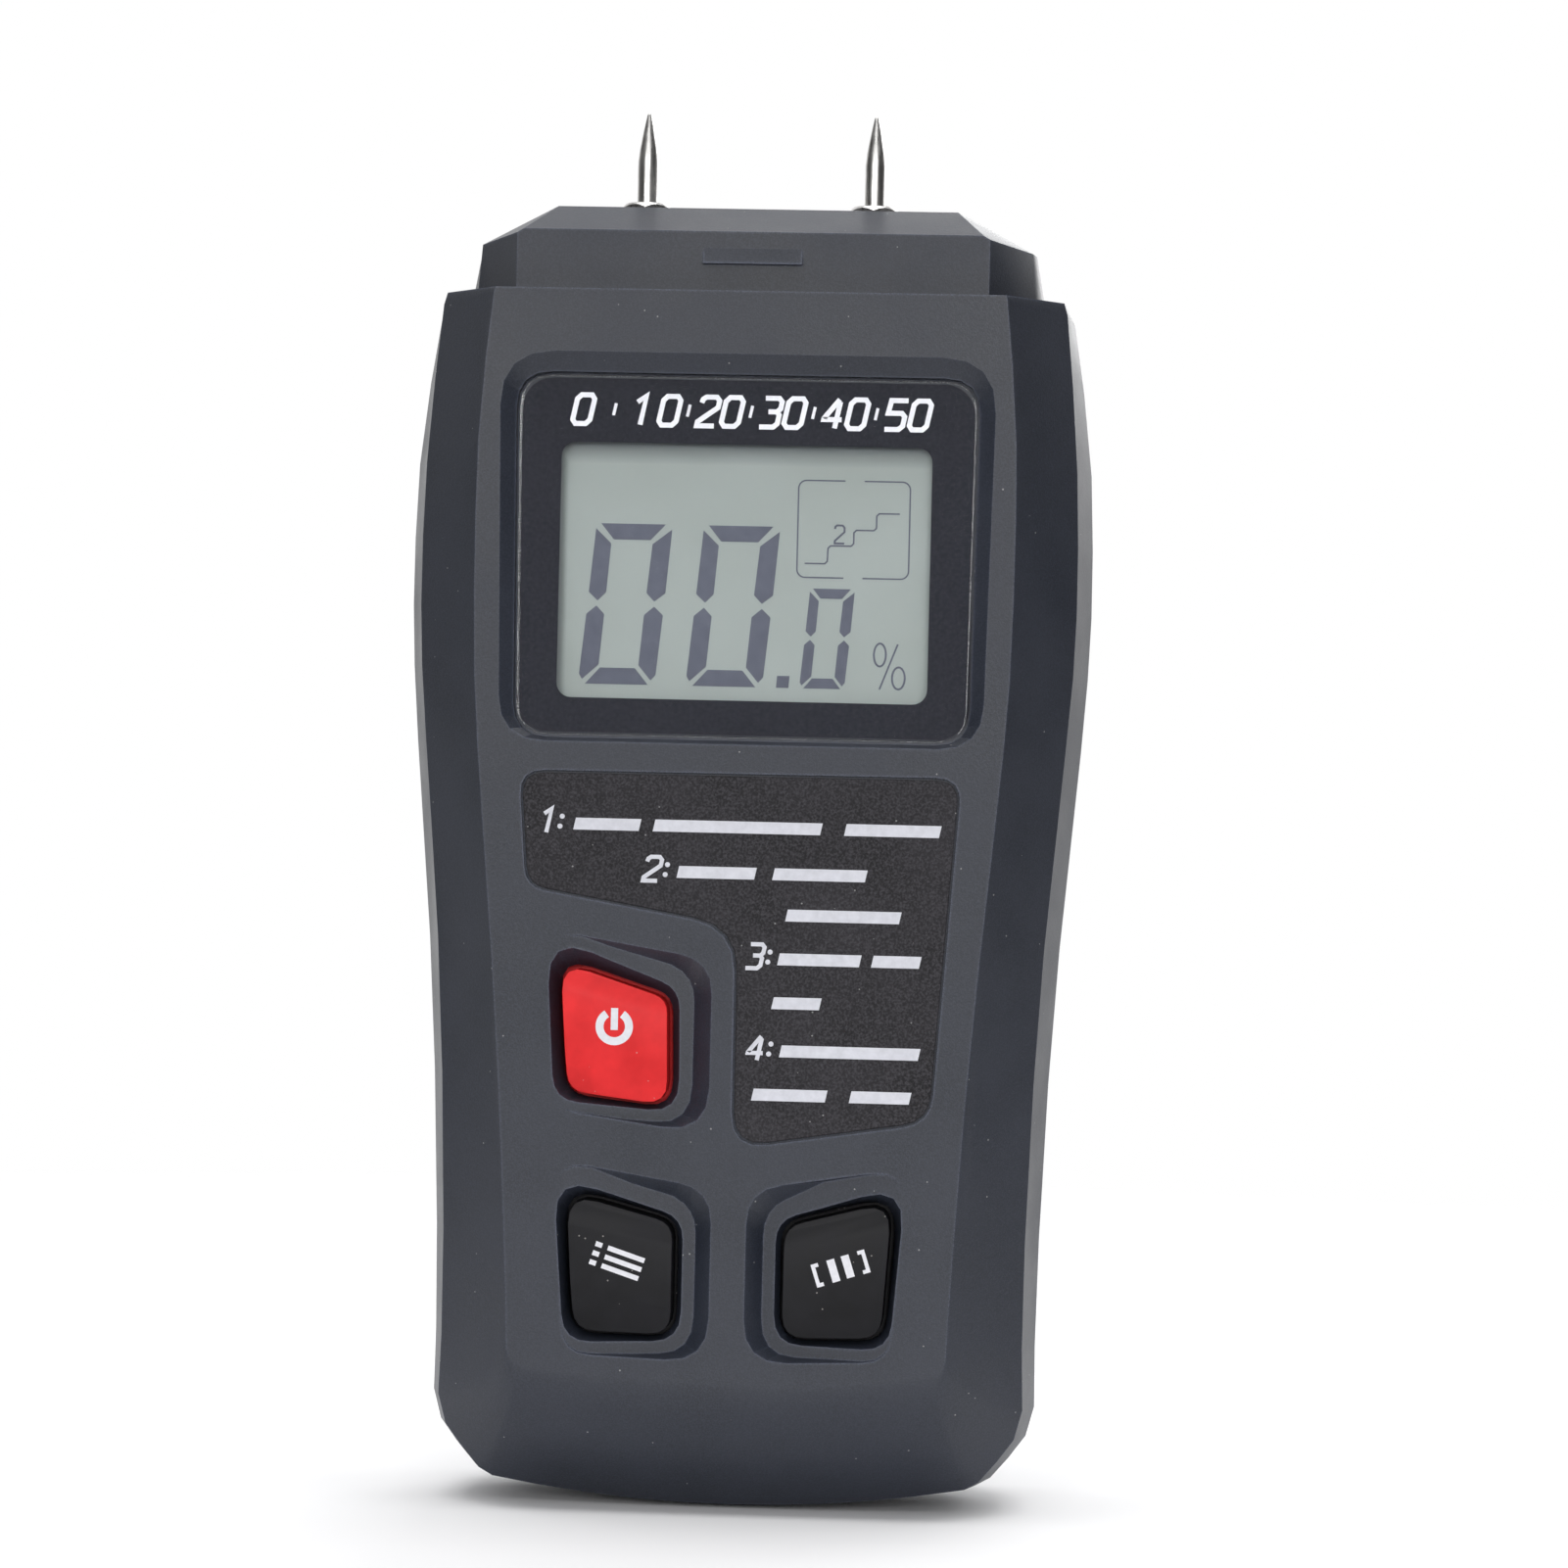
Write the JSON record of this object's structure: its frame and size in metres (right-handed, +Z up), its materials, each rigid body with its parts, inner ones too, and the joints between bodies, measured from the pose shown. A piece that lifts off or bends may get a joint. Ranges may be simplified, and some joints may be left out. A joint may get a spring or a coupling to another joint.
{
  "type": "moisture meter",
  "caption": "Handheld pin-type wood moisture meter with a display, slanted keys, sharp probe pins on a narrow head and a rear battery door.",
  "frame": {"origin": "under the middle of the case, at the height of its lowest edge, as it stands upright", "axes": "+Z up along the length toward the pins, -Y out of the display face, +X to the right when facing the display"},
  "size_m": [0.0698, 0.03, 0.1423],
  "materials": {
    "shell_plastic": "fine-textured dark blue-grey ABS, satin matt",
    "lens_acrylic": "clear polished acrylic",
    "label_film": "dark grainy polycarbonate film",
    "lcd_glass": "grey-green reflective LCD glass",
    "frame_plastic": "black moulded plastic",
    "conductive_rubber": "layered conductive rubber strip",
    "board_laminate": "green solder mask over glass-epoxy laminate",
    "black_epoxy": "black potting epoxy and chip plastic",
    "capacitor_sleeve": "dark blue shrink sleeve",
    "screw_steel": "zinc-plated steel",
    "pin_steel": "polished hardened steel",
    "socket_nickel": "nickel-plated brass",
    "lug_brass": "tinned brass",
    "key_red_rubber": "red silicone rubber, satin",
    "key_black_rubber": "black silicone rubber, satin",
    "keypad_silicone": "black silicone rubber sheet",
    "carbon_rubber": "carbon-filled rubber pill",
    "wire_white": "white PVC insulation",
    "wire_red": "red PVC insulation",
    "wire_black": "black PVC insulation",
    "battery_jacket": "printed steel jacket, plain bands",
    "foam": "black closed-cell foam",
    "print_ink": "white screen-printed ink",
    "lens_print": "black border printed on the back of the lens",
    "lcd_ink": "dark liquid-crystal segments"
  },
  "bodies": {
    "case": {"front_shell": "shell_plastic", "rear_shell": "shell_plastic", "display_lens": "lens_acrylic", "function_label": "label_film", "lcd_panel": "lcd_glass", "lcd_frame": "frame_plastic", "zebra_strip_upper": "conductive_rubber", "zebra_strip_lower": "conductive_rubber", "circuit_board": "board_laminate", "processor_blob": "black_epoxy", "measurement_chip": "black_epoxy", "supply_regulator": "black_epoxy", "filter_capacitor": "capacitor_sleeve", "keypad_mat": "keypad_silicone", "battery": "battery_jacket", "battery_snap": "wire_black", "battery_lead_red": "wire_red", "battery_lead_black": "wire_black", "case_screw_1": "screw_steel", "board_screw_1": "screw_steel", "case_screw_2": "screw_steel", "board_screw_2": "screw_steel", "case_screw_3": "screw_steel", "board_screw_3": "screw_steel", "case_screw_4": "screw_steel", "board_screw_4": "screw_steel", "power_dome": "keypad_silicone", "mode_dome": "keypad_silicone", "hold_dome": "keypad_silicone", "probe_pin_left": "pin_steel", "pin_socket_left": "socket_nickel", "solder_lug_left": "lug_brass", "pin_nut_left": "lug_brass", "pin_wire_left": "wire_white", "probe_pin_right": "pin_steel", "pin_socket_right": "socket_nickel", "solder_lug_right": "lug_brass", "pin_nut_right": "lug_brass", "pin_wire_right": "wire_white"},
    "power_button": {"power_key": "key_red_rubber", "power_contact": "carbon_rubber"},
    "mode_button": {"mode_key": "key_black_rubber", "mode_contact": "carbon_rubber"},
    "hold_button": {"hold_key": "key_black_rubber", "hold_contact": "carbon_rubber"},
    "door": {"battery_door": "shell_plastic", "battery_pad": "foam"}
  },
  "joints": [
    {"name": "power_press", "type": "slide", "parent": "case", "child": "power_button", "axis": [0, 1, 0], "range_m": [0, 0.0008], "stiffness_N_per_m": 1500, "springref_m": -0.0001, "deforming": ["power_dome"]},
    {"name": "mode_press", "type": "slide", "parent": "case", "child": "mode_button", "axis": [0, 1, 0], "range_m": [0, 0.0008], "stiffness_N_per_m": 1500, "springref_m": -0.0001, "deforming": ["mode_dome"]},
    {"name": "hold_press", "type": "slide", "parent": "case", "child": "hold_button", "axis": [0, 1, 0], "range_m": [0, 0.0008], "stiffness_N_per_m": 1500, "springref_m": -0.0001, "deforming": ["hold_dome"]},
    {"name": "door_hinge", "type": "hinge", "parent": "case", "child": "door", "pos_m": [0, 0.015, 0.0144], "axis": [-1, 0, 0], "range_deg": [0, 75]}
  ]
}
